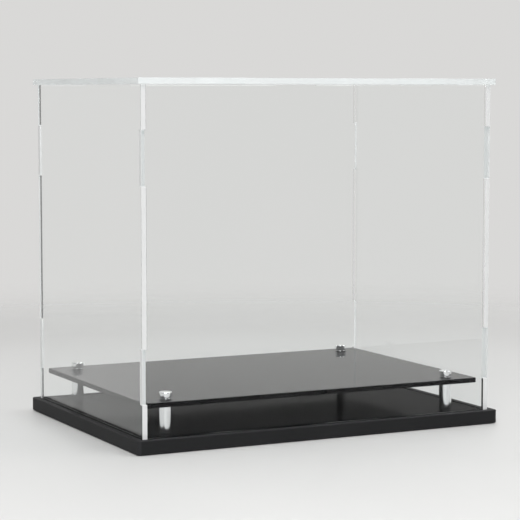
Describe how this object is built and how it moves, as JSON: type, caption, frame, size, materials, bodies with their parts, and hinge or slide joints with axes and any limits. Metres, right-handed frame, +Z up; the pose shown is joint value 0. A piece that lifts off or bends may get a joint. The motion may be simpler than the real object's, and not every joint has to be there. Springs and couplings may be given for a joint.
{
  "type": "helmet display case",
  "caption": "Clear acrylic display case for a football helmet: a lift-off cover with finger-jointed corners on a grooved black base, and a raised glossy platform on metal standoffs.",
  "frame": {"origin": "the point on the table under the middle of the base", "axes": "+X along the long side to the right, +Y from the front to the back, +Z up"},
  "size_m": [0.4, 0.292, 0.353],
  "materials": {
    "black_lacquer": "satin lacquer",
    "black_acrylic": "glossy",
    "satin_acrylic": "satin",
    "clear_acrylic": "clear, polished edges",
    "polished_steel": "mirror polished",
    "zinc_steel": "zinc plated",
    "black_rubber": "matte"
  },
  "bodies": {
    "base": {"base_board": "black_lacquer", "floor_sheet": "satin_acrylic", "foot_front_left": "black_rubber", "foot_front_right": "black_rubber", "foot_back_left": "black_rubber", "foot_back_right": "black_rubber", "base_screw_front_left": "zinc_steel", "base_screw_front_right": "zinc_steel", "base_screw_back_left": "zinc_steel", "base_screw_back_right": "zinc_steel", "standoff_barrel_front_left": "polished_steel", "standoff_barrel_front_right": "polished_steel", "standoff_barrel_back_left": "polished_steel", "standoff_barrel_back_right": "polished_steel", "lower_washer_front_left": "polished_steel", "lower_washer_front_right": "polished_steel", "lower_washer_back_left": "polished_steel", "lower_washer_back_right": "polished_steel"},
    "cover": {"wall_front": "clear_acrylic", "wall_back": "clear_acrylic", "wall_left": "clear_acrylic", "wall_right": "clear_acrylic"},
    "lid": {"lid": "clear_acrylic"},
    "platform": {"platform": "black_acrylic"},
    "washer_front_left": {"upper_washer_front_left": "polished_steel"},
    "cap_front_left": {"standoff_cap_front_left": "polished_steel"},
    "washer_front_right": {"upper_washer_front_right": "polished_steel"},
    "cap_front_right": {"standoff_cap_front_right": "polished_steel"},
    "washer_back_left": {"upper_washer_back_left": "polished_steel"},
    "cap_back_left": {"standoff_cap_back_left": "polished_steel"},
    "washer_back_right": {"upper_washer_back_right": "polished_steel"},
    "cap_back_right": {"standoff_cap_back_right": "polished_steel"}
  },
  "joints": [
    {"name": "cover_lift", "type": "slide", "parent": "base", "child": "cover", "axis": [0, 0, 1], "range_m": [0, 0.36]},
    {"name": "lid_lift", "type": "slide", "parent": "cover", "child": "lid", "axis": [0, 0, 1], "range_m": [0, 0.05]},
    {"name": "platform_lift", "type": "slide", "parent": "base", "child": "platform", "axis": [0, 0, 1], "range_m": [0, 0.06]},
    {"name": "cap_turn_front_left", "type": "hinge", "parent": "platform", "child": "washer_front_left", "pos_m": [-0.1575, -0.111, 0.0468], "axis": [0, 0, 1], "range_deg": [0, 3600]},
    {"name": "cap_rise_front_left", "type": "slide", "parent": "washer_front_left", "child": "cap_front_left", "axis": [0, 0, 1], "range_m": [0, 0.01]},
    {"name": "cap_turn_front_right", "type": "hinge", "parent": "platform", "child": "washer_front_right", "pos_m": [0.1575, -0.111, 0.0468], "axis": [0, 0, 1], "range_deg": [0, 3600]},
    {"name": "cap_rise_front_right", "type": "slide", "parent": "washer_front_right", "child": "cap_front_right", "axis": [0, 0, 1], "range_m": [0, 0.01]},
    {"name": "cap_turn_back_left", "type": "hinge", "parent": "platform", "child": "washer_back_left", "pos_m": [-0.1575, 0.111, 0.0468], "axis": [0, 0, 1], "range_deg": [0, 3600]},
    {"name": "cap_rise_back_left", "type": "slide", "parent": "washer_back_left", "child": "cap_back_left", "axis": [0, 0, 1], "range_m": [0, 0.01]},
    {"name": "cap_turn_back_right", "type": "hinge", "parent": "platform", "child": "washer_back_right", "pos_m": [0.1575, 0.111, 0.0468], "axis": [0, 0, 1], "range_deg": [0, 3600]},
    {"name": "cap_rise_back_right", "type": "slide", "parent": "washer_back_right", "child": "cap_back_right", "axis": [0, 0, 1], "range_m": [0, 0.01]}
  ],
  "couplings": [
    {"joint": "cap_rise_front_left", "follows": "cap_turn_front_left", "m_per_rad": 0.00015915},
    {"joint": "cap_rise_front_right", "follows": "cap_turn_front_right", "m_per_rad": 0.00015915},
    {"joint": "cap_rise_back_left", "follows": "cap_turn_back_left", "m_per_rad": 0.00015915},
    {"joint": "cap_rise_back_right", "follows": "cap_turn_back_right", "m_per_rad": 0.00015915}
  ]
}
